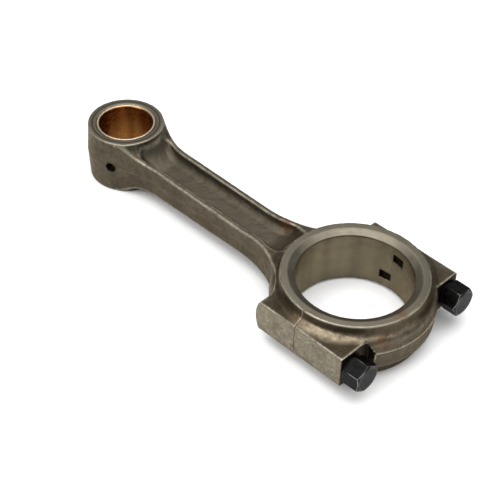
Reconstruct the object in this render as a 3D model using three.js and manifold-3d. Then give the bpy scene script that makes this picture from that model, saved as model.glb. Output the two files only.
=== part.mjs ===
// Connecting rod of a small four-stroke engine: forged rod body with an I-section beam,
// bolted bearing cap, small-end bush and two cap bolts. Millimetres, +Z along the pin axis.
// The model is drawn about the big-end bore axis, at the rod's mid-plane; +X runs from the
// small end to the cap. The outer group then stands it on its lower faces.
import * as THREE from 'three';
import { mergeVertices } from 'three/addons/utils/BufferGeometryUtils.js';
import Module from 'manifold-3d';

const wasm = await Module();
wasm.setup();

// Driving dimensions.
const centreDistance = 144;
const endWidth = 27.6;
const bigBoreDiameter = 50.6;
const pinBoreDiameter = 25;
const bushWall = 1.2;
const thrustRingWidth = 6.5;
const barrelWall = 10.3;
const smallEndWall = 4.1;
const smallEndDraft = 0.8;
const beamWidth = 20.4;
const flangeThickness = 2.8;
const beamHeightAtSmallEnd = 15.2;
const beamHeightAtBigEnd = 13.2;
const pocketDepth = 4.3;
const blockHeight = 15.2;
const blockBeamSide = 20;
const boltSeatDistance = 25.9;
const boltInnerWall = 1.7;
const boltOuterWall = 1.7;
const boltDiameter = 8;
const threadEngagement = 16.1;
const headAcrossFlats = 12;
const headHeight = 9.4;

// Clearances and small features.
const partingGap = 0.1;
const bushGap = 0.05;
const bushRecess = 0.15;
const seatGap = 0.05;
const holeClearance = 0.25;
const spotFaceMargin = 4.1;
const bigChamferWidth = 3.1;
const bigChamferDepth = 1.6;
const smallChamfer = 0.6;
const edgeBreak = 0.4;
const shoulderDrop = 4.5;
const smallEndStep = 2.8;
const pocketFlare = 1.6;
const thrustStep = 1.9;
const tangLength = 6;
const tangHeight = 4.4;
const tangDepth = 1.6;
const tangInset = 7.7;
const oilHoleDiameter = 4.6;
const oilHoleAngle = THREE.MathUtils.degToRad(-66);
const smallFlareRadius = 50;
const bigFlareRadius = 40;
const bigFlareReach = 18.4;
const boltTurns = { near: 0, far: 27 };

// Values worked out from them.
const halfWidth = endWidth / 2;
const boreRadius = bigBoreDiameter / 2;
const thrustRadius = boreRadius + thrustRingWidth;
const barrelRadius = boreRadius + barrelWall;
const housingRadius = pinBoreDiameter / 2 + bushWall + bushGap;
const smallFaceRadius = pinBoreDiameter / 2 + bushWall + smallEndWall;
const smallCrestRadius = smallFaceRadius + smallEndDraft;
const halfBlock = blockHeight / 2;
const boltOffset = boreRadius + boltInnerWall + boltDiameter / 2;
const halfSpread = boltOffset + boltDiameter / 2 + boltOuterWall;
const holeRadius = boltDiameter / 2 + holeClearance;
const headCorner = headAcrossFlats / Math.sqrt(3);
const spotFaceRadius = headCorner + spotFaceMargin;
const bigFlareStart = -(barrelRadius + bigFlareReach);
const reach = 2 * centreDistance;
const roundSteps = 72;
const smallRoundSteps = 60;
const holeSteps = 24;

function toSolid(geometry) {
  const bare = geometry.clone();
  bare.deleteAttribute('normal');
  bare.deleteAttribute('uv');
  const merged = mergeVertices(bare, 1e-4);
  return new wasm.Manifold(new wasm.Mesh({
    numProp: 3,
    vertProperties: Float32Array.from(merged.attributes.position.array),
    triVerts: Uint32Array.from(merged.index.array),
  }));
}

function toGeometry(solid) {
  const mesh = solid.getMesh();
  const geometry = new THREE.BufferGeometry();
  geometry.setAttribute('position', new THREE.BufferAttribute(mesh.vertProperties, 3));
  geometry.setIndex(new THREE.BufferAttribute(mesh.triVerts, 1));
  geometry.computeVertexNormals();
  return geometry;
}

function box(xMin, xMax, yMin, yMax, zMin, zMax) {
  const geometry = new THREE.BoxGeometry(xMax - xMin, yMax - yMin, zMax - zMin);
  geometry.translate((xMin + xMax) / 2, (yMin + yMax) / 2, (zMin + zMax) / 2);
  return toSolid(geometry);
}

// A body of revolution about Z through (x, 0). The outline lists [radius, z] pairs.
function turned(outline, x = 0, steps = roundSteps) {
  const points = outline.map(([radius, z]) => new THREE.Vector2(radius, z));
  const geometry = new THREE.LatheGeometry(points, steps);
  geometry.rotateX(Math.PI / 2);
  geometry.translate(x, 0, 0);
  return toSolid(geometry);
}

// The same outline above and below the mid-plane, listed from the mid-plane upwards.
function mirroredOutline(upper) {
  const lower = upper.filter(([, z]) => z > 0).map(([radius, z]) => [radius, -z]).reverse();
  return [...lower, ...upper];
}

function cylinderAlongX(radius, xMin, xMax, y) {
  const geometry = new THREE.CylinderGeometry(radius, radius, xMax - xMin, holeSteps);
  geometry.rotateZ(Math.PI / 2);
  geometry.translate((xMin + xMax) / 2, y, 0);
  return toSolid(geometry);
}

// Bore along Z with a chamfer at both mouths, as a cutting tool.
function boreTool(radius, chamferWidth, chamferDepth, x, steps) {
  const mouth = radius + chamferWidth;
  const overrun = halfWidth + 5;
  return turned(mirroredOutline([
    [radius, halfWidth - chamferDepth],
    [mouth, halfWidth],
    [mouth, overrun],
    [0, overrun],
  ]), x, steps);
}

// Outer half-width of the beam in plan: parallel, with a flare arc at each end.
const flareReach = Math.sqrt(
  (smallCrestRadius + smallFlareRadius) ** 2 - (beamWidth / 2 + smallFlareRadius) ** 2,
);
const smallFlareStart = -centreDistance + flareReach;

function beamHalfWidth(x) {
  const before = Math.max(smallFlareStart - x, 0);
  const after = Math.max(x - bigFlareStart, 0);
  const smallFlare = smallFlareRadius - Math.sqrt(smallFlareRadius ** 2 - before ** 2);
  const bigFlare = bigFlareRadius - Math.sqrt(bigFlareRadius ** 2 - after ** 2);
  return beamWidth / 2 + smallFlare + bigFlare;
}

// Half-height of the flanges: a taper that swells into the boss and into the bolt blocks.
const smallSwellStart = -centreDistance + 25;
const smallSwellEnd = -centreDistance + 10;
const bigSwellStart = bigFlareStart - 4;
const bigSwellEnd = bigFlareStart + 9;
const bossSideHalf = halfWidth - smallEndStep;

function beamHalfHeight(x) {
  const along = THREE.MathUtils.clamp((x - smallSwellStart) / (bigSwellStart - smallSwellStart), 0, 1);
  const taper = THREE.MathUtils.lerp(beamHeightAtSmallEnd, beamHeightAtBigEnd, along) / 2;
  const toBoss = 1 - THREE.MathUtils.smoothstep(x, smallSwellEnd, smallSwellStart);
  const toBlock = THREE.MathUtils.smoothstep(x, bigSwellStart, bigSwellEnd);
  const raised = THREE.MathUtils.lerp(taper, bossSideHalf, toBoss);
  return THREE.MathUtils.lerp(raised, halfBlock, toBlock);
}

// Depth of the pocket between the flanges, running out at both ends.
const pocketStart = -centreDistance + 14;
const pocketEnd = bigFlareStart + 22;

function pocketDepthAt(x) {
  const fromBoss = THREE.MathUtils.smoothstep(x, pocketStart, pocketStart + 20);
  const fromRing = 1 - THREE.MathUtils.smoothstep(x, pocketEnd - 16, pocketEnd);
  const floorAtMiddle = beamHalfHeight(x) - beamHeightAtBigEnd / 2 + pocketDepth;
  return floorAtMiddle * fromBoss * fromRing;
}

// One upper quarter of the I-section, from the crest of the side to the centre line.
function quarterSection(x) {
  const half = beamHalfWidth(x);
  const height = beamHalfHeight(x);
  const depth = pocketDepthAt(x);
  const pocket = Math.min(half, beamWidth / 2 + pocketFlare) - flangeThickness;
  const draft = 0.35;
  const corner = 0.9;
  const wallRun = 1.2;
  const fillet = 1.5;
  return [
    [half, 0],
    [half - draft, height - corner],
    [half - draft - corner * 0.3, height - corner * 0.3],
    [half - draft - corner, height],
    [pocket + 0.3, height],
    [pocket - 0.2, height - depth * 0.12],
    [pocket - wallRun, height - depth * 0.75],
    [pocket - wallRun - fillet * 0.5, height - depth * 0.94],
    [pocket - wallRun - fillet, height - depth],
  ];
}

function beamSection(x) {
  const right = quarterSection(x);
  const left = right.map(([y, z]) => [-y, z]).reverse();
  const upper = [...right, ...left];
  const lower = upper.slice(1, -1).map(([y, z]) => [y, -z]).reverse();
  return [...upper, ...lower].map(([y, z]) => new THREE.Vector2(y, z));
}

// Skin through the sections at the given stations, closed by a flat face at each end.
function loft(stations) {
  const sections = stations.map((x) => beamSection(x));
  const count = sections[0].length;
  const positions = [];
  sections.forEach((section, i) => {
    section.forEach((point) => positions.push(stations[i], point.x, point.y));
  });
  const indices = [];
  for (let i = 0; i < stations.length - 1; i += 1) {
    for (let j = 0; j < count; j += 1) {
      const k = (j + 1) % count;
      const a = i * count + j;
      const b = i * count + k;
      const c = a + count;
      const d = b + count;
      indices.push(a, b, c, b, d, c);
    }
  }
  const last = (stations.length - 1) * count;
  const startFaces = THREE.ShapeUtils.triangulateShape(sections[0], []);
  const endFaces = THREE.ShapeUtils.triangulateShape(sections[sections.length - 1], []);
  startFaces.forEach(([a, b, c]) => indices.push(a, c, b));
  endFaces.forEach(([a, b, c]) => indices.push(last + a, last + b, last + c));
  const geometry = new THREE.BufferGeometry();
  geometry.setAttribute('position', new THREE.Float32BufferAttribute(positions, 3));
  geometry.setIndex(indices);
  return toSolid(geometry);
}

function beam() {
  const start = -centreDistance + smallCrestRadius * 0.52;
  const end = -blockBeamSide;
  const pieces = 44;
  const stations = [];
  for (let i = 0; i <= pieces; i += 1) {
    stations.push(THREE.MathUtils.lerp(start, end, i / pieces));
  }
  return loft(stations);
}

// Small-end boss: two forging drafts meeting on a crest at the mid-plane.
function smallEndBoss() {
  return turned([
    [0, -halfWidth],
    [smallFaceRadius - edgeBreak, -halfWidth],
    [smallFaceRadius, -halfWidth + edgeBreak],
    [smallCrestRadius, 0],
    [smallFaceRadius, halfWidth - edgeBreak],
    [smallFaceRadius - edgeBreak, halfWidth],
    [0, halfWidth],
  ], -centreDistance, smallRoundSteps);
}

// Barrel round the big bore: crest at the mid-plane, rounded shoulder, a shallow valley
// and the turned thrust boss above it.
function barrel() {
  const shoulderRadius = 3.6;
  const shoulderTop = halfWidth - shoulderDrop;
  const draft = 0.7;
  const centreRadius = barrelRadius - draft - shoulderRadius;
  const shoulder = [0, 0.25, 0.5, 0.75, 1].map((t) => {
    const angle = t * Math.PI / 2;
    return [
      centreRadius + shoulderRadius * Math.cos(angle),
      shoulderTop - shoulderRadius + shoulderRadius * Math.sin(angle),
    ];
  });
  return turned(mirroredOutline([
    [barrelRadius, 0],
    ...shoulder,
    [thrustRadius - 0.6, shoulderTop + 0.2],
    [thrustRadius, halfWidth - thrustStep],
    [thrustRadius, halfWidth - edgeBreak],
    [thrustRadius - edgeBreak, halfWidth],
    [0, halfWidth],
  ]));
}

// Bolt blocks on both sides, drawn as one bar along Y with a crowned end by the beam.
function boltBlocks() {
  const crown = 1.8;
  const shape = new THREE.Shape();
  shape.moveTo(boltSeatDistance, -halfBlock);
  shape.lineTo(boltSeatDistance, halfBlock);
  shape.lineTo(-blockBeamSide, halfBlock);
  shape.quadraticCurveTo(-blockBeamSide - crown, halfBlock / 2, -blockBeamSide - crown, 0);
  shape.quadraticCurveTo(-blockBeamSide - crown, -halfBlock / 2, -blockBeamSide, -halfBlock);
  shape.closePath();
  const geometry = new THREE.ExtrudeGeometry(shape, {
    depth: 2 * halfSpread, bevelEnabled: false, curveSegments: 4,
  });
  geometry.rotateX(Math.PI / 2);
  geometry.translate(0, halfSpread, 0);
  const bar = toSolid(geometry);
  const middle = boreRadius - 4;
  return bar.subtract(box(-reach, -blockBeamSide / 2, -middle, middle, -reach, reach));
}

// Locating slots for the bearing shells' tangs, one each side of the parting plane.
function tangSlot(side) {
  const xMin = side > 0 ? -1 : -tangLength;
  const xMax = side > 0 ? tangLength : 1;
  const zMiddle = side * (halfWidth - tangInset);
  const root = boreRadius + tangDepth;
  return box(xMin, xMax, boreRadius - 3, root, zMiddle - tangHeight / 2, zMiddle + tangHeight / 2);
}

function boltHoles() {
  const near = cylinderAlongX(holeRadius, -reach, reach, -boltOffset);
  const far = cylinderAlongX(holeRadius, -reach, reach, boltOffset);
  return near.add(far);
}

function oilHole(x) {
  const geometry = new THREE.CylinderGeometry(
    oilHoleDiameter / 2, oilHoleDiameter / 2, smallCrestRadius, holeSteps,
  );
  geometry.rotateZ(-Math.PI / 2);
  geometry.translate(pinBoreDiameter / 4 + smallCrestRadius / 2, 0, 0);
  geometry.rotateZ(oilHoleAngle);
  geometry.translate(x, 0, 0);
  return toSolid(geometry);
}

function rodBody() {
  const blank = smallEndBoss().add(beam()).add(barrel()).add(boltBlocks());
  const capSide = box(-partingGap / 2, reach, -reach, reach, -reach, reach);
  return blank
    .subtract(capSide)
    .subtract(boreTool(boreRadius, bigChamferWidth, bigChamferDepth, 0, roundSteps))
    .subtract(boreTool(housingRadius, smallChamfer, smallChamfer, -centreDistance, smallRoundSteps))
    .subtract(boltHoles())
    .subtract(tangSlot(-1))
    .subtract(oilHole(-centreDistance));
}

function bearingCap() {
  const rodSide = box(-reach, partingGap / 2, -reach, reach, -reach, reach);
  const nearSpotFace = cylinderAlongX(spotFaceRadius, boltSeatDistance, reach, -boltOffset);
  const farSpotFace = cylinderAlongX(spotFaceRadius, boltSeatDistance, reach, boltOffset);
  return barrel()
    .add(boltBlocks())
    .subtract(rodSide)
    .subtract(boreTool(boreRadius, bigChamferWidth, bigChamferDepth, 0, roundSteps))
    .subtract(boltHoles())
    .subtract(nearSpotFace)
    .subtract(farSpotFace)
    .subtract(tangSlot(1));
}

// Plain bush, drawn about its own axis.
function smallEndBush() {
  const inner = pinBoreDiameter / 2;
  const outer = inner + bushWall;
  const top = halfWidth - bushRecess;
  const chamfer = 0.3;
  const ring = turned([
    [inner, -top + chamfer],
    [inner + chamfer, -top],
    [outer, -top],
    [outer, top],
    [inner + chamfer, top],
    [inner, top - chamfer],
    [inner, -top + chamfer],
  ], 0, smallRoundSteps);
  return ring.subtract(oilHole(0));
}

// Cap bolt about the X axis: the head's seat is at x = 0 and the shank points to -X.
function capBolt() {
  const rim = headAcrossFlats / 2 - 0.1;
  const tip = boltSeatDistance + threadEngagement;
  const hexagon = new THREE.CylinderGeometry(headCorner, headCorner, headHeight, 6);
  hexagon.translate(0, headHeight / 2, 0);
  const crown = new THREE.LatheGeometry([
    new THREE.Vector2(0, -1),
    new THREE.Vector2(headCorner + 1, -1),
    new THREE.Vector2(headCorner + 1, headHeight - 0.8),
    new THREE.Vector2(rim, headHeight),
    new THREE.Vector2(0, headHeight),
  ], holeSteps * 2);
  const shankRadius = boltDiameter / 2;
  const waistRadius = shankRadius - 0.6;
  const shank = new THREE.LatheGeometry([
    new THREE.Vector2(0, -tip),
    new THREE.Vector2(shankRadius - 1, -tip),
    new THREE.Vector2(shankRadius, -tip + 1),
    new THREE.Vector2(shankRadius, -boltSeatDistance),
    new THREE.Vector2(waistRadius, -boltSeatDistance + 1.5),
    new THREE.Vector2(waistRadius, -6),
    new THREE.Vector2(shankRadius, -4.5),
    new THREE.Vector2(shankRadius, 1),
    new THREE.Vector2(0, 1),
  ], holeSteps);
  return toSolid(hexagon).intersect(toSolid(crown)).add(toSolid(shank));
}

const forgedSteel = { color: 0x6f675a, roughness: 0.55, metalness: 0.85 };
const bronze = { color: 0xa86a3c, roughness: 0.35, metalness: 0.9 };
const blackOxide = { color: 0x2b2c2d, roughness: 0.45, metalness: 0.8 };

function addPiece(parent, name, solid, look) {
  const mesh = new THREE.Mesh(toGeometry(solid), new THREE.MeshStandardMaterial(look));
  mesh.name = name;
  parent.add(mesh);
  return mesh;
}

const rod = new THREE.Group();
addPiece(rod, 'rod_body', rodBody(), forgedSteel);
addPiece(rod, 'bearing_cap', bearingCap(), forgedSteel);
const bush = addPiece(rod, 'small_end_bush', smallEndBush(), bronze);
bush.position.x = -centreDistance;

for (const [side, sign] of [['near', -1], ['far', 1]]) {
  const bolt = addPiece(rod, `cap_bolt_${side}`, capBolt(), blackOxide);
  const turn = new THREE.Group();
  turn.rotation.x = THREE.MathUtils.degToRad(boltTurns[side]);
  turn.position.set(boltSeatDistance + seatGap, sign * boltOffset, 0);
  bolt.rotation.z = -Math.PI / 2;
  turn.add(bolt);
  rod.add(turn);
}

// Stand the rod on its lower faces, centred over the origin.
const xMin = -centreDistance - smallCrestRadius;
const xMax = Math.max(barrelRadius, boltSeatDistance + seatGap + headHeight);
rod.position.set(-(xMin + xMax) / 2, 0, halfWidth);

const object = new THREE.Group();
object.add(rod);

export default object;
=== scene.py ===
"""Connecting rod: the fine surfaces, finishes, stage and camera.

Every forged piece is drawn as a signed distance in millimetres about the big-end axis, with the
fillets and drafts that a forging die leaves, and is then skinned with quads.
"""

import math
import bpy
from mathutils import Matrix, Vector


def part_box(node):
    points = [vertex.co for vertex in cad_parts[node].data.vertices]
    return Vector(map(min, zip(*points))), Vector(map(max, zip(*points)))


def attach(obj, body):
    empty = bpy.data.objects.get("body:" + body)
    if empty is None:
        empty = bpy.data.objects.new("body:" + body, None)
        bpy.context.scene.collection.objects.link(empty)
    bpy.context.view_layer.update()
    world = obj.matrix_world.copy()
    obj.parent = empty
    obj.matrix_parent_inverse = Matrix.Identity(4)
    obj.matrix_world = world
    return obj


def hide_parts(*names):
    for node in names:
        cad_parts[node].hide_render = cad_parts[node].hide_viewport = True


bl_info = {
    "name": "Connecting rod",
    "version": (1, 0, 0),
    "blender": (4, 5, 0),
    "location": "3D View > Sidebar > Connecting rod",
    "description": "Builds a forged connecting rod with its cap, bush, bolts and studio",
    "category": "Object",
}

from types import SimpleNamespace

import bpy
import numpy as np
from mathutils import Matrix, Vector

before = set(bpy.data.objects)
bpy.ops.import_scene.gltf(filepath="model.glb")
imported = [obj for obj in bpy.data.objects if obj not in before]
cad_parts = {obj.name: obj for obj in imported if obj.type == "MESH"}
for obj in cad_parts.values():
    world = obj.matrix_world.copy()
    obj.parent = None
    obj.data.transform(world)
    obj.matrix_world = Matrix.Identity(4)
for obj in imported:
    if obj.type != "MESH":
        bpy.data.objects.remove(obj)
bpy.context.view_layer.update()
MM = 1000.0
PI_3 = math.pi / 3
FINISH_REACH = 0.06  # how near to a machined surface a vertex takes its finish, in millimetres


# ---------------------------------------------------------------- sizes and colours


def length(name, description, default):
    return bpy.props.FloatProperty(
        name=name, description=description, default=default, unit="LENGTH", subtype="DISTANCE",
        precision=5,
    )


def colour(name, description, default):
    return bpy.props.FloatVectorProperty(
        name=name, description=description, default=default, size=3, min=0, max=1,
        subtype="COLOR",
    )


class RodSizes(bpy.types.PropertyGroup):
    big_bore: length("Big-end bore", "Diameter of the big-end housing bore", 0.0506)
    chamfer_width: length("Chamfer width", "Radial width of the big bore's chamfer", 0.0031)
    chamfer_depth: length("Chamfer depth", "Depth of the big bore's chamfer", 0.0016)
    thrust_face: length("Thrust face", "Outer diameter of the turned thrust face", 0.0636)
    barrel_crest: length("Barrel crest", "Diameter over the flash line of the big end", 0.0712)
    shoulder_top: length("Shoulder top", "Half-height of the big end's rounded shoulder", 0.0093)
    small_face: length("Small-end face", "Outer diameter of the small end at its faces", 0.0356)
    small_crest: length("Small-end crest", "Diameter of the small end at its flash line", 0.0372)
    housing_bore: length("Bush housing", "Diameter of the small-end bore round the bush", 0.0275)
    pin_bore: length("Pin bore", "Bore of the bush", 0.025)
    beam_width: length("Beam width", "Width over the flanges of the beam", 0.0204)
    flange: length("Flange", "Width of each flange's top land", 0.0028)
    web: length("Web", "Thickness of the web between the pockets", 0.0046)
    flash: length("Flash line", "Height of the trimmed flash line round the mid-plane", 0.00035)
    block_height: length("Block height", "Height of the bolt blocks", 0.0152)
    block_beam_side: length("Block reach", "From the bore axis to the blocks' beam end", 0.02)
    bolt_hole: length("Bolt hole", "Diameter of the bolt holes", 0.0085)
    spot_face: length("Spot face", "Diameter of the spot face under each bolt head", 0.022)
    oil_hole: length("Oil hole", "Diameter of the small end's oil hole", 0.0046)
    head_height: length("Head height", "Height of the bolt heads", 0.0094)
    head_flats: length("Across flats", "Size of the bolt heads across flats", 0.012)
    thread: length("Thread", "Outer diameter of the bolt thread", 0.008)
    pitch: length("Pitch", "Pitch of the bolt thread", 0.00125)
    collar: length("Bolt collar", "Height of the round collar under each bolt head", 0.0013)
    waist: length("Bolt waist", "Diameter of the bolts' waisted shank", 0.0068)
    skin: length("Skin", "Edge length of the quads that skin the forgings", 0.00055)
    fine_skin: length("Fine skin", "Edge length of the quads on the bolts", 0.00022)


class RodColours(bpy.types.PropertyGroup):
    scale_dark: colour("Dark scale", "Darkest tone of the forged skin", (0.040, 0.030, 0.019))
    scale_mid: colour("Forged skin", "Main tone of the forged skin", (0.079, 0.067, 0.047))
    scale_light: colour("Rubbed skin", "Tone of rubbed and peened high spots", (0.134, 0.117, 0.086))
    # Brown of the oil stain on the near block; it also paints shade on the cap's far side.
    stain_and_shade_tone: colour("Oil stain", "Brown oil stain on the near block", (0.034, 0.024, 0.011))
    # A lighter polished tone that also paints a highlight on the near shoulder crest.
    polish_highlight_tone: colour("Polished skin", "Hand-ground shoulder of the big end", (0.30, 0.245, 0.17))
    edge: colour("Worn edges", "Bright worn edges of the forging", (0.46, 0.415, 0.33))
    cut_steel: colour("Cut steel", "Turned and ground faces", (0.205, 0.185, 0.142))
    scratch: colour("Scratches", "Fresh scratches on the blocks' sides", (0.42, 0.39, 0.3))
    cut_dark: colour("Dulled steel", "Dulled parts of the turned and ground faces", (0.140, 0.123, 0.093))
    bore_steel: colour("Bored steel", "Wall of the big-end bore", (0.180, 0.152, 0.098))
    bore_dark: colour("Bore bands", "Darker bands of the bore", (0.125, 0.105, 0.066))
    rust: colour("Rust", "Light rust stains", (0.17, 0.075, 0.035))
    bronze: colour("Bronze", "Bore of the bush", (0.42, 0.195, 0.05))
    bronze_dark: colour("Dark bronze", "Darker bands of the bush", (0.18, 0.066, 0.017))
    bronze_light: colour("Light bronze", "Burnished spots of the bush", (0.62, 0.37, 0.13))
    bronze_edge: colour("Cut bronze", "End faces of the bush", (0.74, 0.62, 0.46))
    # Near black for the seats, oil hole and tang slots is grime with painted shade; on the joint line it
    # is a dark joint.
    grime_and_shade: colour("Grime", "Oily dirt on the bolt seats and in the oil hole", (0.018, 0.013, 0.009))
    oxide: colour("Black oxide", "Skin of the bolts", (0.0065, 0.0065, 0.0062))
    oxide_light: colour("Rubbed oxide", "Greyer spots of the bolts", (0.014, 0.014, 0.0134))
    oxide_worn: colour("Worn oxide", "Bright worn edges of the bolts", (0.36, 0.34, 0.31))
    floor: colour("Floor", "Studio floor", (0.9, 0.9, 0.9))


# ---------------------------------------------------------------- distances and skinning


def smoothstep(x, start, end):
    """0 before start and 1 past end, eased in between; start may be the larger one."""
    t = np.clip((x - start) / (end - start), 0, 1)
    return t * t * (3 - 2 * t)


def blend(a, b, t):
    """From a to b as t goes from 0 to 1."""
    return a + (b - a) * t


def round_union(a, b, radius):
    """Union with a fillet of the given radius in the corner."""
    u = np.maximum(radius - a, 0)
    v = np.maximum(radius - b, 0)
    return np.maximum(radius, np.minimum(a, b)) - np.hypot(u, v)


def round_cut(a, b, radius):
    """Intersection with its edge rounded to the given radius."""
    u = np.maximum(radius + a, 0)
    v = np.maximum(radius + b, 0)
    return np.minimum(-radius, np.maximum(a, b)) + np.hypot(u, v)


def gradient(field, points, reach):
    """Central differences of a field at the points, made into unit vectors."""
    slopes = np.empty_like(points)
    for axis in range(3):
        step = np.zeros(3)
        step[axis] = reach
        ahead = field(*(points + step).T)
        behind = field(*(points - step).T)
        slopes[:, axis] = ahead - behind
    return slopes / np.maximum(np.linalg.norm(slopes, axis=1, keepdims=True), 1e-12)


def crossings(field, values, origin, step, axis):
    """Where the surface crosses the grid's edges along one axis, refined on the field."""
    first = [slice(None)] * 3
    second = [slice(None)] * 3
    first[axis] = slice(0, -1)
    second[axis] = slice(1, None)
    inside = values < 0
    cut = inside[tuple(first)] != inside[tuple(second)]
    cells = np.argwhere(cut)
    ahead = cells.copy()
    ahead[:, axis] += 1
    low_value = values[tuple(cells.T)]
    high_value = values[tuple(ahead.T)]
    low = np.zeros(len(cells))
    high = np.ones(len(cells))
    start = origin + cells * step
    for _ in range(4):
        share = low + (high - low) * low_value / (low_value - high_value)
        share = np.clip(share, low + (high - low) * 0.02, high - (high - low) * 0.02)
        points = start.astype(float)
        points[:, axis] += share * step
        value = field(*points.T)
        same = (value < 0) == (low_value < 0)
        low = np.where(same, share, low)
        low_value = np.where(same, value, low_value)
        high = np.where(same, high, share)
        high_value = np.where(same, high_value, value)
    share = low + (high - low) * low_value / (low_value - high_value)
    points = start.astype(float)
    points[:, axis] += share * step
    outward = inside[tuple(cells.T)]
    return cells, points, outward


def skin_quads(field, low, high, step):
    """Dual contouring: one vertex in each cell that the surface crosses, set on sharp edges."""
    low = np.asarray(low, float) - step * 1.5
    counts = np.ceil((np.asarray(high, float) + step * 1.5 - low) / step).astype(int) + 1
    axes = [low[i] + np.arange(counts[i]) * step for i in range(3)]
    values = field(axes[0][:, None, None], axes[1][None, :, None], axes[2][None, None, :])
    values = np.where(values == 0, 1e-9, values)
    shape = counts - 1
    cell_ids = []
    samples = []
    normals = []
    quads = []
    for axis in range(3):
        cells, points, outward = crossings(field, values, low, step, axis)
        slope = gradient(field, points, step * 0.05)
        one, two = (axis + 1) % 3, (axis + 2) % 3
        ring = []
        for back_one, back_two in ((1, 1), (0, 1), (0, 0), (1, 0)):
            cell = cells.copy()
            cell[:, one] -= back_one
            cell[:, two] -= back_two
            ring.append(np.ravel_multi_index(cell.T, shape))
        cell_ids += ring
        samples += [points] * 4
        normals += [slope] * 4
        ring = np.stack(ring, axis=1)
        quads.append(np.where(outward[:, None], ring, ring[:, ::-1]))
    cell_ids = np.concatenate(cell_ids)
    samples = np.concatenate(samples)
    normals = np.concatenate(normals)
    used, slot = np.unique(cell_ids, return_inverse=True)
    total = len(used)

    def gathered(weights):
        return np.bincount(slot, weights=weights, minlength=total)

    count = gathered(None)
    middle = np.stack([gathered(samples[:, i]) for i in range(3)], axis=1) / count[:, None]
    matrix = np.zeros((total, 3, 3))
    for i in range(3):
        for j in range(i, 3):
            matrix[:, i, j] = gathered(normals[:, i] * normals[:, j])
            matrix[:, j, i] = matrix[:, i, j]
    offset = np.einsum("ij,ij->i", normals, samples - middle[slot])
    pull = np.stack([gathered(normals[:, i] * offset) for i in range(3)], axis=1)
    matrix += np.eye(3) * 0.08
    vertices = middle + np.linalg.solve(matrix, pull[:, :, None])[:, :, 0]
    corner = low + np.stack(np.unravel_index(used, shape), axis=1) * step
    vertices = np.clip(vertices, corner, corner + step)
    faces = np.searchsorted(used, np.concatenate(quads))
    return vertices, faces


def skinned_object(name, field, low, high, step, centre, marks=None, whole=None):
    """An object from a field in millimetres about centre, with exact normals and its marks.

    Where whole is given, its skin lends the normals, so that a tight joint casts no shade.
    """
    vertices, faces = skin_quads(field, low, high, step)
    normals = gradient(field, vertices, step * 0.3)
    if whole:
        skin = np.abs(whole(*vertices.T)) < 0.05
        normals[skin] = gradient(whole, vertices[skin], step * 0.3)
    mesh = bpy.data.meshes.new(name)
    mesh.from_pydata((vertices / MM + centre).tolist(), [], faces.tolist())
    mesh.update()
    mesh.polygons.foreach_set("use_smooth", np.ones(len(faces), bool))
    mesh.normals_split_custom_set_from_vertices(normals.tolist())
    for mark, values in (marks(vertices) if marks else {}).items():
        layer = mesh.attributes.new(mark, "FLOAT", "POINT")
        layer.data.foreach_set("value", np.broadcast_to(values, len(vertices)).astype(np.float32))
    made = bpy.data.objects.new(name, mesh)
    bpy.context.scene.collection.objects.link(made)
    return made


def curvature(field, points, reach):
    """Mean curvature of the field at the points: above 0 on ridges, below 0 in hollows."""
    total = np.zeros(len(points))
    for axis in range(3):
        step = np.zeros(3)
        step[axis] = reach
        total += field(*(points + step).T) + field(*(points - step).T)
    return (total - 6 * field(*points.T)) / reach**2


# ---------------------------------------------------------------- the forging


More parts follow.
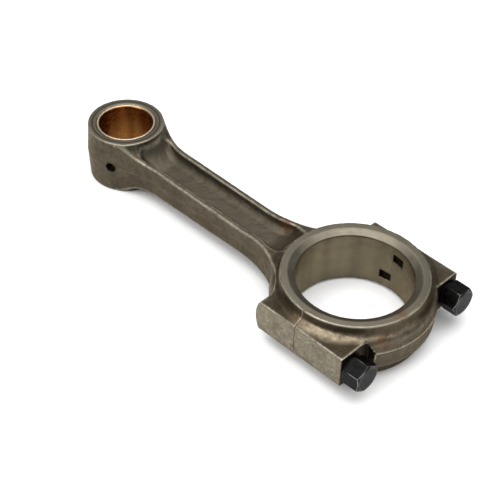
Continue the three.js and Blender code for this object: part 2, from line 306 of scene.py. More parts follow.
def measures():
    """Sizes in millimetres about the big-end axis, with the places that the frame gives."""
    sizes = bpy.context.scene.rod_sizes
    cap_low, cap_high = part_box("bearing_cap")
    bush_low, bush_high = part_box("small_end_bush")
    bolt_low, bolt_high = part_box("cap_bolt_far")
    m = SimpleNamespace()
    m.parting = 0.05
    m.split = 0.004
    m.seat_gap = 0.05
    m.bush_gap = 0.05
    m.centre = np.array([cap_low.x - m.parting / MM, 0, (cap_low.z + cap_high.z) / 2])
    m.half_width = (cap_high.z - cap_low.z) / 2 * MM
    m.half_spread = cap_high.y * MM
    m.small_x = ((bush_low.x + bush_high.x) / 2 - m.centre[0]) * MM
    m.bush_top = (bush_high.z - bush_low.z) / 2 * MM
    m.bolt_y = (bolt_low.y + bolt_high.y) / 2 * MM
    m.head_height = sizes.head_height * MM
    m.head_end = (bolt_high.x - m.centre[0]) * MM
    m.bolt_tip = (bolt_low.x - m.centre[0]) * MM
    m.seat_x = m.head_end - m.head_height - m.seat_gap
    m.bore = sizes.big_bore / 2 * MM
    m.chamfer_width = sizes.chamfer_width * MM
    m.chamfer_depth = sizes.chamfer_depth * MM
    m.thrust = sizes.thrust_face / 2 * MM
    m.crest = sizes.barrel_crest / 2 * MM
    m.shoulder_top = sizes.shoulder_top * MM
    m.small_face = sizes.small_face / 2 * MM
    m.small_crest = sizes.small_crest / 2 * MM
    m.housing = sizes.housing_bore / 2 * MM
    m.pin = sizes.pin_bore / 2 * MM
    m.beam = sizes.beam_width / 2 * MM
    m.flange = sizes.flange * MM
    m.half_web = sizes.web / 2 * MM
    m.half_block = sizes.block_height / 2 * MM
    m.block_beam_side = sizes.block_beam_side * MM
    m.bolt_hole = sizes.bolt_hole / 2 * MM
    m.spot_face = sizes.spot_face / 2 * MM
    m.oil_hole = sizes.oil_hole / 2 * MM
    m.oil_angle = math.radians(-66)
    m.flats = sizes.head_flats / 2 * MM
    m.thread = sizes.thread / 2 * MM
    m.pitch = sizes.pitch * MM
    m.waist = sizes.waist / 2 * MM
    m.collar = sizes.collar * MM
    m.flash = sizes.flash * MM
    m.flash_at = 1.8
    m.tang_length = 6
    m.half_tang = 2.2
    m.tang_offset = 6.1
    m.tang_depth = 1.6
    m.half_height_small = 7.6
    m.half_height_big = 6.6
    m.half_height_boss = 11.0
    m.pocket_flare = 1.6
    m.pocket_rim = 3.4
    m.forged_edge = 0.7
    m.shoulder_round = 3.8
    m.thrust_fillet = 1.6
    m.block_inner = 8
    m.skin = sizes.skin * MM * 1.0
    m.fine_skin = sizes.fine_skin * MM * 1.0
    m.small_flare = 50.0
    m.big_flare = 40.0
    m.big_flare_start = -54.0
    side = m.beam + m.small_flare
    reach = math.sqrt((m.small_crest + m.small_flare) ** 2 - side**2)
    m.small_flare_start = m.small_x + reach
    m.tangent_x = m.small_x + reach * m.small_crest / (m.small_crest + m.small_flare)
    return m


def beam_half_width(m, x):
    """Half of the beam's width, which flares out on an arc into each end."""
    before = np.clip(m.small_flare_start - x, 0, m.small_flare * 0.6)
    after = np.clip(x - m.big_flare_start, 0, m.big_flare * 0.88)
    small = m.small_flare - np.sqrt(m.small_flare**2 - before**2)
    big = m.big_flare - np.sqrt(m.big_flare**2 - after**2)
    return m.beam + small + big


def beam_half_height(m, x):
    """Half of the height over the flanges: it tapers, and rises to the boss and the blocks."""
    taper = blend(m.half_height_small, m.half_height_big, np.clip((x + 119) / 61, 0, 1))
    raised = blend(taper, m.half_height_boss, 1 - smoothstep(x, -134, -118))
    return blend(raised, m.half_block, smoothstep(x, -60, -44))


def pocket(m, x, s, q, ends):
    """The recess between the flanges, swept up to both ends: below 0 inside it."""
    height = beam_half_height(m, x)
    floor = blend(m.half_web, height + 0.3, smoothstep(x, -47, -30))
    sweep = 12 - 8 * smoothstep(x, -90, -60)
    bottom = round_union(ends, q - floor, sweep)
    wall = np.minimum(beam_half_width(m, x), m.beam + m.pocket_flare) - m.flange
    wall = wall - 0.16 * (height - q)
    return round_cut(s - wall, -bottom, m.pocket_rim)


def flash_line(m, z):
    """Height of the thin line that the trimmed flash leaves where the dies met."""
    return m.flash * np.exp(-(((z - m.flash_at) / 0.5) ** 2))


def barrel(m, rho, q, z):
    """The big end's round body, with its thrust column on a lower shoulder."""
    side = rho - (m.crest - 0.05 * q) - flash_line(m, z)
    shoulder = round_cut(side, q - m.shoulder_top, m.shoulder_round)
    column = np.maximum(rho - m.thrust - 0.05 * (m.half_width - q), q - m.half_width - 1)
    return round_union(shoulder, column, m.thrust_fillet)


def small_boss(m, x, y, q):
    """The small end's boss, drafted both ways from the mid-plane."""
    rho = np.hypot(x - m.small_x, y)
    draft = (m.small_crest - m.small_face) / m.half_width
    return np.maximum(rho - m.small_crest + draft * q, q - m.half_width - 1)


def blank(m, x, y, z):
    """The whole forging before any machining, rod and cap together."""
    s = np.abs(y)
    q = np.abs(z)
    rho = np.hypot(x, y)
    ends = np.minimum(barrel(m, rho, q, z), small_boss(m, x, y, q))
    crown = 1.8 * (1 - (q / m.half_block) ** 2)
    block = np.maximum(s - m.half_spread, -x - m.block_beam_side - crown)
    block = np.maximum(np.maximum(block, x - m.seat_x), m.block_inner - s)
    width = beam_half_width(m, x)
    draft = 0.06 - 0.02 * smoothstep(x, -130, -100)
    beam = np.maximum(s - width + draft * q, x + m.block_beam_side - 2)
    beam = np.maximum(beam, m.tangent_x - x)
    plan = round_union(beam, block, 1.5)
    top = q - beam_half_height(m, x)
    fillet = 4.5 - 1.7 * smoothstep(x, -110, -75) - 1.4 * smoothstep(x, 14, 24)
    arms = round_cut(plan, round_union(ends, top, fillet), m.forged_edge)
    arms = round_cut(arms, -pocket(m, x, s, q, ends), m.forged_edge)
    return np.minimum(ends, arms)


def bore_with_chamfer(rho, q, radius, width, depth, half_width):
    """A bore with a chamfer at both faces: below 0 inside it."""
    slope = depth / math.hypot(width, depth)
    cone = (rho - radius - width * (1 - (half_width - q) / depth)) * slope
    return np.minimum(rho - radius, cone)


def along_bolts(m, y, z):
    """Distance from the nearer bolt's axis."""
    return np.hypot(np.abs(y) - m.bolt_y, z)


def tang_slot(m, x, y, z, side):
    """Slot for a shell's tang on one side of the parting plane: below 0 inside it."""
    along = np.maximum(side * x - m.tang_length, -side * x - 1)
    across = np.abs(z - side * m.tang_offset) - m.half_tang
    depth = y - (m.bore + m.tang_depth)
    return np.maximum(np.maximum(along, across), np.maximum(depth, m.bore - 3 - y))


def oil_drilling(m, x, y, z):
    """The drilling through the small end's wall: below 0 inside it."""
    dx = x - m.small_x
    along = dx * math.cos(m.oil_angle) + y * math.sin(m.oil_angle)
    across = -dx * math.sin(m.oil_angle) + y * math.cos(m.oil_angle)
    return np.maximum(np.hypot(across, z) - m.oil_hole, -along)


def machined(m, x, y, z):
    """The forging after the faces, bores and bolt holes are cut."""
    q = np.abs(z)
    rho = np.hypot(x, y)
    body = round_cut(blank(m, x, y, z), q - m.half_width, 0.3)
    bore = bore_with_chamfer(rho, q, m.bore, m.chamfer_width, m.chamfer_depth, m.half_width)
    body = round_cut(body, -bore, 0.15)
    return np.maximum(body, m.bolt_hole - along_bolts(m, y, z))


def rod_whole(m):
    """The rod as it would be without the joint to the cap."""

    def field(x, y, z):
        body = machined(m, x, y, z)
        small = np.hypot(x - m.small_x, y)
        housing = bore_with_chamfer(small, np.abs(z), m.housing, 0.5, 0.5, m.half_width)
        body = round_cut(body, -housing, 0.1)
        body = np.maximum(body, -tang_slot(m, x, y, z, -1))
        return round_cut(body, -oil_drilling(m, x, y, z), 0.15)

    return field


def cap_whole(m):
    """The cap as it would be without the joint to the rod."""

    def field(x, y, z):
        body = machined(m, x, y, z)
        seat = np.maximum(along_bolts(m, y, z) - m.spot_face, m.seat_x - x)
        body = round_cut(body, -seat, 0.15)
        return np.maximum(body, -tang_slot(m, x, y, z, 1))

    return field


def parted(m, whole, side):
    """The part of a field on one side of the joint of rod and cap."""
    return lambda x, y, z: round_cut(whole(x, y, z), m.split - side * x, 0.02)


# Where light rust sits: x, y and z in millimetres about the big-end axis, and its reach.
RUST_SPOTS = (
    (29.2, -5.5, 13.8, 2.6),
    (29.8, -16.5, 7.2, 3.2),
    (-1.0, -32.0, 7.6, 2.6),
    (-47.0, 9.0, 6.5, 3.6),
)


def wear_marks(m, x, y, q, rho, small):
    """Masks for what use has left and for painted light: an oil stain, painted shade on the cap's far
    side and on its turned faces, a polished crest with a painted highlight, and a painted sheen on the
    web.
    """
    near_stain = smoothstep(-y, 14, 27) * smoothstep(q, 5.5, 8) * smoothstep(x, -19, -14)
    # Painted shade: the cap's far side is darkened with the stain's brown.
    cap_painted_shade = smoothstep(y, -2, 10) * smoothstep(x, 24, 31)
    crest = smoothstep(rho, m.thrust, m.thrust + 1) * smoothstep(rho, 46, 42)
    crest = crest * smoothstep(q, 7.4, 8.7) * (q < 11.5)
    web = smoothstep(np.abs(y), 7.5, 5) * (small > m.small_crest + 0.3)
    return {
        "stain_and_shade": np.maximum(0.75 * near_stain, cap_painted_shade),
        # Painted shade: turned faces darker towards the cap's far side.
        "painted_turned_shade": smoothstep(y, 0, 10) * smoothstep(x, 14, 28),
        # Polish with a painted highlight: the lighter tone sits only on the near part of the shoulder
        # crest.
        "polish_highlight": crest * smoothstep(x, -8, 3) * smoothstep(y, 6, -6),
        # Painted sheen: the pocket floor along the beam is lightened.
        "rubbed": web * smoothstep(x, -33, -42) * (q < 12),
    }


def forging_marks(m, field):
    """Per-vertex masks for each finish, for worn ridges, hollows with dirt and painted shade, seats and
    holes with grime and painted shade, and rust.
    """

    def marks(points):
        x, y, z = points.T
        q = np.abs(z)
        s = np.abs(y)
        rho = np.hypot(x, y)
        small = np.hypot(x - m.small_x, y)
        near = FINISH_REACH
        face = q > m.half_width - near
        chamfer = (rho < m.bore + m.chamfer_width) & (q > m.half_width - m.chamfer_depth)
        bored = (np.abs(rho - m.bore) < near) | (np.abs(small - m.housing) < near)
        side = s > m.half_spread - near
        split = (np.abs(x) < m.split + near) & ~(face | chamfer | bored | side)
        head_room = along_bolts(m, y, z) < m.spot_face + near
        seat = (x > m.seat_x - near) & head_room
        drilled = (small > m.housing + 0.2) & (oil_drilling(m, x, y, z) < 0.35)
        blended = (np.abs(x - m.tangent_x) < 2) & (q < m.half_width - 1.5)
        ridge = np.clip(curvature(field, points, 0.5) * 0.5, 0, 1)
        rim = face & ((rho > m.thrust - 0.7) ^ (small < m.small_face - 0.7))
        slots = np.minimum(tang_slot(m, x, y, z, -1), tang_slot(m, x, y, z, 1)) < near
        rust = sum(
            np.exp(-((x - a) ** 2 + (y - b) ** 2 + (z - c) ** 2) / reach**2)
            for a, b, c, reach in RUST_SPOTS
        )
        return {
            "turned": (face | chamfer) & ~bored,
            "bored": bored,
            "ground": side | split,
            # Seats under the bolt heads, the oil hole and the tang slots: grime with painted shade.
            "seat": seat | drilled | (slots & ~bored),
            "ridge": np.where(seat | drilled | split | blended | slots, 0, ridge),
            # Hollows from curvature, darkened as dirt and as painted shade.
            "hollow_shade_and_dirt": np.clip(-curvature(field, points, 2.2) * 2.6, 0, 1),
            "rim": np.where(rim & (np.abs(x) > 0.8), ridge, 0),
            "rust": np.clip(rust, 0, 1),
            **wear_marks(m, x, y, q, rho, small),
        }

    return marks


# ---------------------------------------------------------------- bush and bolts


def bush_field(m):
    """The bush about its own axis: a ring with chamfered ends and the oil drilling."""

    def field(x, y, z):
        q = np.abs(z)
        rho = np.hypot(x, y)
        ring = round_cut(rho - m.housing + m.bush_gap, q - m.bush_top, 0.12)
        ring = round_cut(ring, -bore_with_chamfer(rho, q, m.pin, 0.45, 0.45, m.bush_top), 0.08)
        return round_cut(ring, -oil_drilling(m, x + m.small_x, y, z), 0.12)

    return field


def bush_marks(m):
    """Mask for the cut ends and the outside of the bush."""

    def marks(points):
        x, y, z = points.T
        rho = np.hypot(x, y)
        end = (np.abs(z) > m.bush_top - 0.1) & (rho > m.pin + 0.4)
        return {"turned": end | (rho > m.housing - 0.2)}

    return marks


def hexagon(y, z, flats, turn):
    """Distance to a hexagonal bar about the X axis, with two flats facing across at no turn."""
    sides = [np.abs(y * math.cos(a) + z * math.sin(a)) for a in (turn, turn + PI_3, turn + 2 * PI_3)]
    return np.maximum(np.maximum(sides[0], sides[1]), sides[2]) - flats


def thread_radius(m, x, y, z):
    """Radius of the threaded shank: a V with flat crests and roots, on a helix."""
    turns = (x / m.pitch - np.arctan2(z, y) / (2 * math.pi)) % 1.0
    groove = np.clip(1.25 * (1 - np.abs(2 * turns - 1)) - 0.125, 0, 1)
    return m.thread - 0.6 * m.pitch * groove


def bolt_field(m, turn):
    """Cap bolt with its head's seat at x = 0: chamfered hexagon, waisted shank, thread."""

    def field(x, y, z):
        rho = np.hypot(y, z)
        under = (m.collar - x) * 0.87 + (rho - m.flats - 0.4) * 0.5
        cone = (x - m.head_height) * 0.9 + (rho - m.flats + 0.55) * 0.43
        head = round_cut(hexagon(y, z, m.flats, turn), under, 0.1)
        head = round_cut(round_cut(head, cone, 0.12), x - m.head_height, 0.12)
        washer = round_cut(rho - m.flats + 0.25, np.maximum(-x, x - m.collar - 1), 0.1)
        head = np.minimum(head, washer)
        tip = m.bolt_tip - m.seat_x
        thread_start = m.seat_x - 1.5
        radius = blend(m.thread, m.waist, smoothstep(-x, 4.5, 6.0))
        cut = thread_radius(m, x, y, z)
        radius = blend(radius, cut, smoothstep(-x, thread_start, 1 + thread_start))
        shank = np.maximum(rho - radius, x - 1)
        end = (rho + tip - x - m.thread + 1) * 0.7
        shank = np.maximum(np.maximum(shank, end), tip - x)
        return round_union(head, shank, 0.35)

    return field


def bolt_marks(field):
    """Mask for the worn edges of a bolt's head."""

    def marks(points):
        ridge = np.clip(curvature(field, points, 0.2) * 0.2 - 0.15, 0, 1)
        return {"ridge": ridge * smoothstep(points[:, 0], 2.5, 5.0)}

    return marks


# ---------------------------------------------------------------- materials


class Recipe:
    """One material: each call adds a node and hands back its output."""

    def __init__(self, name):
        self.material = bpy.data.materials.new(name)
        self.material.use_nodes = True
        self.tree = self.material.node_tree
        self.shader = self.tree.nodes["Principled BSDF"]

    def feed(self, socket, value):
        if isinstance(value, bpy.types.NodeSocket):
            self.tree.links.new(value, socket)
        else:
            socket.default_value = value

    def add(self, kind, inputs, **settings):
        node = self.tree.nodes.new(kind)
        for name, value in settings.items():
            setattr(node, name, value)
        for name, value in inputs.items():
            self.feed(node.inputs[name], value)
        return node

    def calc(self, operation, *values):
        return self.add("ShaderNodeMath", dict(enumerate(values)), operation=operation).outputs[0]

    def span(self, value, start, end, low=0.0, high=1.0):
        """The value's stretch from start to end, eased onto low to high."""
        names = ("Value", "From Min", "From Max", "To Min", "To Max")
        inputs = dict(zip(names, (value, start, end, low, high)))
        node = self.add("ShaderNodeMapRange", inputs, interpolation_type="SMOOTHSTEP")
        return node.outputs["Result"]

    def mix(self, share, first, second):
        """Two colours mixed by share."""
        ends = [(*c, 1) if not isinstance(c, bpy.types.NodeSocket) else c for c in (first, second)]
        node = self.add("ShaderNodeMix", {0: share, 6: ends[0], 7: ends[1]}, data_type="RGBA")
        return node.outputs[2]

    def place(self, origin, stretch=(1, 1, 1)):
        """Object coordinates in millimetres from origin, stretched along each axis."""
        scale = [MM * part for part in stretch]
        shift = [-origin[i] * scale[i] for i in range(3)]
        where = self.add("ShaderNodeTexCoord", {}).outputs["Object"]
        inputs = {"Vector": where, "Location": shift, "Scale": scale}
        return self.add("ShaderNodeMapping", inputs).outputs[0]

    def noise(self, where, size, detail=3.0, roughness=0.55):
        inputs = {"Vector": where, "Scale": 1 / size, "Detail": detail, "Roughness": roughness}
        return self.add("ShaderNodeTexNoise", inputs).outputs["Fac"]

    def lines(self, along, size, detail=2.0):
        """Noise that varies along one number only, as a lathe's or a grinder's marks do."""
        inputs = {"W": along, "Scale": 1 / size, "Detail": detail, "Roughness": 0.7}
        return self.add("ShaderNodeTexNoise", inputs, noise_dimensions="1D").outputs["Fac"]

    def cells(self, where, size):
        inputs = {"Vector": where, "Scale": 1 / size}
        return self.add("ShaderNodeTexVoronoi", inputs, feature="F1").outputs["Distance"]

    def mark(self, name):
        return self.add("ShaderNodeAttribute", {}, attribute_name=name).outputs["Fac"]

    def radius(self, where):
        """Distance from the Z axis."""
        parts = self.add("ShaderNodeSeparateXYZ", {"Vector": where}).outputs
        flat = self.add("ShaderNodeCombineXYZ", {"X": parts[0], "Y": parts[1]}).outputs[0]
        return self.add("ShaderNodeVectorMath", {0: flat}, operation="LENGTH").outputs["Value"]

    def bump(self, height, depth, strength=1.0, before=None):
        """Bump of a height from 0 to 1 that stands for depth millimetres."""
        inputs = {"Height": height, "Distance": depth / MM, "Strength": strength}
        if before is not None:
            inputs["Normal"] = before
        return self.add("ShaderNodeBump", inputs).outputs[0]

    def finish(self, base, metallic, roughness, normal):
        inputs = {"Base Color": base, "Metallic": metallic, "Roughness": roughness}
        for name, value in (*inputs.items(), ("Normal", normal)):
            self.feed(self.shader.inputs[name], value)
        return self.material


def forged_skin(r, colours, where):
    """Colour of the peened forging: tones at three scales, dirt with painted shade in hollows, a painted
    sheen on the web, an oil stain, painted shade on the cap's far side, polish with a painted highlight,
    rubbed edges and light rust.
    """
    broad = r.noise(where, 13, 4.0, 0.6)
    patch = r.noise(where, 2.4, 4.0, 0.65)
    grain = r.noise(where, 0.5, 2.0)
    tone = r.mix(r.span(broad, 0.3, 0.7, 0.25, 1), colours.scale_dark, colours.scale_mid)
    tone = r.mix(r.span(patch, 0.5, 0.75, 0, 0.35), tone, colours.scale_light)
    tone = r.mix(r.span(grain, 0.42, 0.7, 0, 0.35), tone, colours.scale_light)
    tone = r.mix(r.span(patch, 0.46, 0.3, 0, 0.35), tone, colours.scale_dark)
    # Hollows go darker: partly dirt, partly painted shade.
    dirt_and_shade = r.calc("MULTIPLY", r.mark("hollow_shade_and_dirt"), r.span(broad, 0.3, 0.6, 0.3, 0.65))
    tone = r.mix(dirt_and_shade, tone, colours.scale_dark)
    # Painted sheen: the web's pocket floor is lightened.
    tone = r.mix(r.calc("MULTIPLY", r.mark("rubbed"), 0.55), tone, colours.scale_light)
    # Oil stain on the near block, and painted shade on the cap's far side.
    tone = r.mix(r.calc("MULTIPLY", r.mark("stain_and_shade"), 0.85), tone, colours.stain_and_shade_tone)
    # Polish with a painted highlight on the near shoulder crest.
    polish_highlight = r.calc("MULTIPLY", r.mark("polish_highlight"), r.span(patch, 0.3, 0.65, 0.35, 0.8))
    tone = r.mix(polish_highlight, tone, colours.polish_highlight_tone)
    rubbed = r.calc("MULTIPLY", r.mark("ridge"), r.span(patch, 0.3, 0.6, 0.35, 1))
    return r.mix(rubbed, tone, colours.edge)


def rusted(r, colours, where, base):
    """Rust where its mark says, broken up, with a few faint stains elsewhere."""
    cloud = r.noise(where, 3.2, 5.0, 0.7)
    spots = r.calc("MULTIPLY", r.mark("rust"), r.span(cloud, 0.38, 0.58, 0.2, 0.85))
    faint = r.span(r.noise(where, 8, 5.0, 0.7), 0.6, 0.74, 0, 0.2)
    return r.mix(r.calc("MAXIMUM", spots, faint), base, colours.rust)


def turned_skin(r, colours, where, rings, coarse):
    """Colour of turned faces: fine rings over broad tones, coarser on the small end, and painted shade
    towards the cap's far side.
    """
    broad = r.noise(where, 9, 3.0)
    tone = r.mix(r.span(rings, 0.3, 0.7, 0.35, 1), colours.cut_dark, colours.cut_steel)
    tone = r.mix(r.span(broad, 0.4, 0.7, 0, 0.5), tone, colours.cut_dark)
    # Painted shade: turned faces darker towards the cap's far side.
    tone = r.mix(r.calc("MULTIPLY", r.mark("painted_turned_shade"), 0.7), tone, colours.scale_light)
    along = r.add("ShaderNodeSeparateXYZ", {"Vector": where}).outputs[0]
    grooves = r.calc("MULTIPLY", r.span(coarse, 0.52, 0.4), r.span(along, -70, -100))
    return r.mix(r.calc("MULTIPLY", grooves, 0.75), tone, colours.scale_dark)


def ground_skin(r, colours, where, scratches):
    """Colour of the blocks' flat sides: pale, scratched and pitted."""
    broad = r.noise(where, 9, 3.0, 0.6)
    patch = r.noise(where, 1.7, 5.0, 0.75)
    tone = r.mix(r.span(broad, 0.35, 0.62), colours.cut_dark, colours.cut_steel)
    tone = r.mix(r.span(patch, 0.54, 0.36, 0, 0.85), tone, colours.scale_light)
    tone = r.mix(r.span(patch, 0.56, 0.7, 0, 0.6), tone, colours.scratch)
    tone = r.mix(r.span(scratches, 0.6, 0.68, 0, 0.7), tone, colours.scratch)
    pits = r.span(r.cells(where, 2.3), 0.22, 0.08, 0, 0.7)
    return r.mix(pits, tone, colours.scale_dark)


def joint_line(r, where, turned, bored):
    """Share of dirt along the joint of rod and cap, which the cut faces hardly show."""
    across = r.add("ShaderNodeSeparateXYZ", {"Vector": where}).outputs[0]
    line = r.span(r.calc("ABSOLUTE", across), 0.4, 0.1, 0, 0.6)
    shown = r.calc("SUBTRACT", 1.0, r.calc("MULTIPLY", r.calc("MAXIMUM", turned, bored), 0.9))
    return r.calc("MULTIPLY", line, shown)


def forged_steel(m):
    """The steel of rod and cap, with each finish where its mark says."""
    made = bpy.data.materials.get("forged steel")
    if made:
        return made
    colours = bpy.context.scene.rod_colours
    r = Recipe("forged steel")
    where = r.place(m.centre)
    small = m.centre + np.array([m.small_x, 0, 0]) / MM
    span = r.calc("MINIMUM", r.radius(where), r.radius(r.place(small)))
    rings = r.lines(span, 0.42, 2.0)
    bands = r.noise(r.place(m.centre, (1, 1, 0.02)), 12, 1.0)
    height = r.add("ShaderNodeSeparateXYZ", {"Vector": where}).outputs[2]
    cuts = r.lines(height, 0.45, 3.0)
    scratches = r.noise(r.place(m.centre, (0.3, 1, 1)), 1.6, 5.0, 0.75)
    turned = r.mark("turned")
    bored = r.mark("bored")
    ground = r.mark("ground")

    base = forged_skin(r, colours, where)
    base = r.mix(turned, base, turned_skin(r, colours, where, rings, r.lines(span, 1.1)))
    wall = r.mix(r.span(bands, 0.35, 0.65), colours.bore_dark, colours.bore_steel)
    wall = r.mix(r.span(cuts, 0.4, 0.7, 0, 0.2), wall, colours.cut_steel)
    base = r.mix(r.span(r.mark("rim"), 0.1, 0.7, 0, 0.6), base, colours.scratch)
    base = r.mix(bored, base, wall)
    base = r.mix(ground, base, ground_skin(r, colours, where, scratches))
    base = rusted(r, colours, where, base)
    base = r.mix(joint_line(r, where, turned, bored), base, colours.grime_and_shade)
    # Grime with painted shade: seats, oil hole and tang slots go near black.
    base = r.mix(r.calc("MULTIPLY", r.mark("seat"), 0.92), base, colours.grime_and_shade)

    cut = r.calc("MAXIMUM", r.calc("MAXIMUM", turned, bored), ground)
    metallic = r.calc("MULTIPLY_ADD", cut, 0.1, 0.86)
    peen = r.noise(where, 1.0, 3.0, 0.6)
    rough = r.span(r.noise(where, 3.5, 3.0), 0.3, 0.7, 0.40, 0.56)
    rough = r.calc("MULTIPLY_ADD", r.calc("MAXIMUM", cut, r.mark("polish_highlight")), -0.1, rough)
    skin = r.calc("SUBTRACT", 1.0, cut)
    normal = r.bump(peen, 0.25, r.calc("MULTIPLY", skin, 0.45))
    normal = r.bump(r.noise(where, 5.0, 2.0), 1.2, r.calc("MULTIPLY", skin, 0.35), normal)
    normal = r.bump(rings, 0.03, r.calc("MULTIPLY", turned, 0.5), normal)
    normal = r.bump(cuts, 0.03, r.calc("MULTIPLY", bored, 0.5), normal)
    normal = r.bump(scratches, 0.12, r.calc("MULTIPLY", ground, 0.5), normal)
    r.shader.inputs["Specular Tint"].default_value = (0.78, 0.7, 0.6, 1)
    return r.finish(base, metallic, rough, normal)


def bush_bronze(m):
    """Bronze with a burnished bore and bright cut ends."""
    colours = bpy.context.scene.rod_colours
    r = Recipe("bush bronze")
    centre = m.centre + np.array([m.small_x, 0, 0]) / MM
    where = r.place(centre)
    bands = r.noise(r.place(centre, (1, 1, 0.08)), 9, 1.0)
    blotch = r.noise(where, 1.6, 4.0, 0.65)
    height = r.add("ShaderNodeSeparateXYZ", {"Vector": where}).outputs[2]
    cuts = r.lines(height, 0.4, 3.0)
    base = r.mix(r.span(bands, 0.35, 0.65), colours.bronze_dark, colours.bronze)
    base = r.mix(r.span(blotch, 0.5, 0.8, 0, 0.25), base, colours.bronze_light)
    base = r.mix(r.mark("turned"), base, colours.bronze_edge)
    rough = r.span(blotch, 0.3, 0.7, 0.24, 0.42)
    normal = r.bump(cuts, 0.03, 0.4, r.bump(blotch, 0.05, 0.3))
    return r.finish(base, 1.0, rough, normal)


def bolt_oxide(centre):
    """Black oxide, rubbed bright along the edges."""
    colours = bpy.context.scene.rod_colours
    r = Recipe("bolt oxide")
    where = r.place(centre)
    patch = r.noise(where, 2.2, 4.0, 0.65)
    grain = r.noise(where, 0.4, 3.0)
    base = r.mix(r.span(patch, 0.35, 0.7), colours.oxide, colours.oxide_light)
    base = r.mix(r.span(grain, 0.55, 0.75, 0, 0.35), base, colours.oxide_light)
    worn = r.noise(where, 5, 3.0, 0.6)
    rubbed = r.calc("MULTIPLY", r.mark("ridge"), r.span(worn, 0.4, 0.62, 0.1, 0.9))
    base = r.mix(rubbed, base, colours.oxide_worn)
    rough = r.span(patch, 0.3, 0.7, 0.34, 0.5)
    normal = r.bump(grain, 0.12, 0.4)
    r.shader.inputs["Specular Tint"].default_value = (0.75, 0.75, 0.75, 1)
    return r.finish(base, r.calc("MULTIPLY_ADD", rubbed, 0.05, 0.93), rough, normal)


def studio_floor():
    """Matt pale paper with a faint fibre."""
    colours = bpy.context.scene.rod_colours
    r = Recipe("floor")
    where = r.place((0, 0, 0))
    fibre = r.noise(where, 0.8, 3.0)
    shade = [part * 0.985 for part in colours.floor]
    base = r.mix(r.span(fibre, 0.3, 0.7), shade, colours.floor)
    return r.finish(base, 0.0, 0.95, r.bump(fibre, 0.02, 0.2))


# ---------------------------------------------------------------- operators


class ROD_OT_body(bpy.types.Operator):
    """Build the forged rod body"""

    bl_idname = "rod.body"
    bl_label = "Rod body"

    def execute(self, context):
        m = measures()
        whole = rod_whole(m)
        field = parted(m, whole, -1)
        low = (m.small_x - m.small_crest, -m.half_spread, -m.half_width)
        high = (0, m.half_spread, m.half_width)
        marks = forging_marks(m, field)
        body = skinned_object("rod_forging", field, low, high, m.skin, m.centre, marks, whole)
        dress(body, forged_steel(m), "rod", "rod_body")
        return {"FINISHED"}


class ROD_OT_cap(bpy.types.Operator):
    """Build the bearing cap"""

    bl_idname = "rod.cap"
    bl_label = "Bearing cap"

    def execute(self, context):
        m = measures()
        whole = cap_whole(m)
        field = parted(m, whole, 1)
        low = (0, -m.half_spread, -m.half_width)
        high = (m.crest + m.flash, m.half_spread, m.half_width)
        marks = forging_marks(m, field)
        cap = skinned_object("cap_forging", field, low, high, m.skin, m.centre, marks, whole)
        dress(cap, forged_steel(m), "cap", "bearing_cap")
        return {"FINISHED"}


class ROD_OT_bush(bpy.types.Operator):
    """Build the small-end bush"""

    bl_idname = "rod.bush"
    bl_label = "Small-end bush"

    def execute(self, context):
        m = measures()
        reach = (m.housing, m.housing, m.bush_top)
        centre = m.centre + np.array([m.small_x, 0, 0]) / MM
        low = [-part for part in reach]
        step = m.fine_skin * 1.5
        bush = skinned_object("bush_bronze", bush_field(m), low, reach, step, centre, bush_marks(m))
        dress(bush, bush_bronze(m), "rod", "small_end_bush")
        return {"FINISHED"}


class ROD_OT_bolts(bpy.types.Operator):
    """Build the two cap bolts"""

    bl_idname = "rod.bolts"
    bl_label = "Cap bolts"

    def execute(self, context):
        m = measures()
        corner = m.flats / math.cos(PI_3 / 2)
        low = (m.bolt_tip - m.seat_x, -corner, -corner)
        high = (m.head_height, corner, corner)
        for side, sign, turn in (("near", -1, 0), ("far", 1, 27)):
            field = bolt_field(m, math.radians(turn))
            centre = m.centre + np.array([m.seat_x + m.seat_gap, sign * m.bolt_y, 0]) / MM
            name = f"bolt_{side}"
            made = skinned_object(name, field, low, high, m.fine_skin, centre, bolt_marks(field))
            dress(made, bolt_oxide(centre), f"{side}_bolt", f"cap_bolt_{side}")
        return {"FINISHED"}


def dress(made, material, body, node):
    made.data.materials.append(material)
    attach(made, body)
    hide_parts(node)


class ROD_OT_stage(bpy.types.Operator):
    """Set the floor, the lights and the camera"""

    bl_idname = "rod.stage"
    bl_label = "Stage"

    def execute(self, context):
        m = measures()
        bpy.ops.mesh.primitive_plane_add(size=12, location=(0, 0, -0.0002))
        floor = bpy.context.object
        floor.name = "floor"
        floor.data.materials.append(studio_floor())
        world = bpy.data.worlds.new("studio")
        world.use_nodes = True
        world.node_tree.nodes["Background"].inputs[0].default_value = (1, 1, 1, 1)
        world.node_tree.nodes["Background"].inputs[1].default_value = 0.28
        context.scene.world = world
        context.scene.view_settings.view_transform = "Standard"
        for light in LIGHTS:
            add_light(context, *light)
        add_floor_fill(context)
        add_camera(context, m)
        return {"FINISHED"}


# Name, position in metres, side in metres and power in watts.
LIGHTS = (
    ("overhead", (0.05, 0.0, 0.95), 1.1, 9.5),
    ("key", (-0.12, -0.8, 0.75), 0.5, 4.2),
    ("back", (-0.6, 0.63, 0.85), 0.8, 0.8),
)


def add_floor_fill(context):
    """Soft light from straight above that keeps the whole floor pale and shows in no gloss."""
    light = bpy.data.lights.new("floor fill", "SUN")
    light.energy = 1.7
    light.angle = math.radians(110)
    made = bpy.data.objects.new("floor fill", light)
    made.visible_glossy = False
    context.scene.collection.objects.link(made)


def add_light(context, name, place, size, power):
    light = bpy.data.lights.new(name, "AREA")
    light.shape = "SQUARE"
    light.size = size
    light.energy = power
    made = bpy.data.objects.new(name, light)
    made.location = place
    made.rotation_euler = (-Vector(place)).to_track_quat("-Z", "Y").to_euler()
    context.scene.collection.objects.link(made)


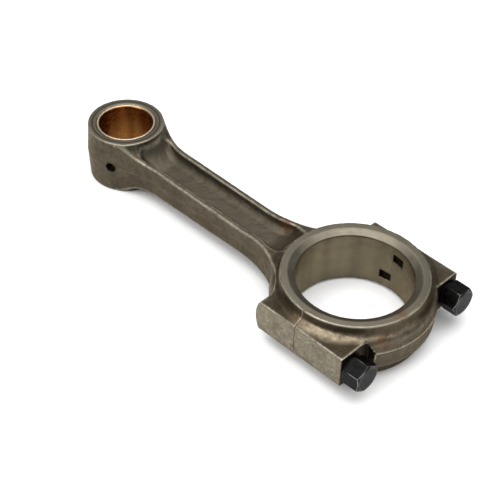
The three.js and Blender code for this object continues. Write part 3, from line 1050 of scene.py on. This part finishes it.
def add_camera(context, m):
    """A long lens that looks down on the cap end from the near side."""
    azimuth = math.radians(133.53)
    elevation = math.radians(42.43)
    roll = math.radians(-1.70)
    target = m.centre + np.array([-50.98, -10.6, 0]) / MM
    distance = 0.6026
    view = np.array([
        math.cos(elevation) * math.cos(azimuth),
        math.cos(elevation) * math.sin(azimuth),
        -math.sin(elevation),
    ])
    level = np.array([math.sin(azimuth), -math.cos(azimuth), 0])
    down = np.cross(view, level)
    right = math.cos(roll) * level + math.sin(roll) * down
    below = -math.sin(roll) * level + math.cos(roll) * down
    camera = bpy.data.objects.new("camera", bpy.data.cameras.new("camera"))
    camera.data.lens = 98.89
    camera.data.sensor_width = 36
    turn = Matrix([right, -below, -view]).transposed().to_4x4()
    camera.matrix_world = Matrix.Translation(Vector(target - view * distance)) @ turn
    context.scene.collection.objects.link(camera)
    context.scene.camera = camera


class ROD_PT_panel(bpy.types.Panel):
    """Lists the pieces and their sizes"""

    bl_idname = "ROD_PT_panel"
    bl_label = "Connecting rod"
    bl_space_type = "VIEW_3D"
    bl_region_type = "UI"
    bl_category = "Connecting rod"

    def draw(self, context):
        for step in STEPS:
            self.layout.operator(step.bl_idname)
        for group in (context.scene.rod_sizes, context.scene.rod_colours):
            for name in group.__annotations__:
                self.layout.prop(group, name)


STEPS = (ROD_OT_body, ROD_OT_cap, ROD_OT_bush, ROD_OT_bolts, ROD_OT_stage)
CLASSES = (RodSizes, RodColours, *STEPS, ROD_PT_panel)


def register():
    for made in CLASSES:
        bpy.utils.register_class(made)
    bpy.types.Scene.rod_sizes = bpy.props.PointerProperty(type=RodSizes)
    bpy.types.Scene.rod_colours = bpy.props.PointerProperty(type=RodColours)


def unregister():
    del bpy.types.Scene.rod_colours
    del bpy.types.Scene.rod_sizes
    for made in reversed(CLASSES):
        bpy.utils.unregister_class(made)


def main():
    register()
    bpy.ops.rod.body()
    bpy.ops.rod.cap()
    bpy.ops.rod.bush()
    bpy.ops.rod.bolts()
    bpy.ops.rod.stage()


if __name__ == "__main__":
    main()
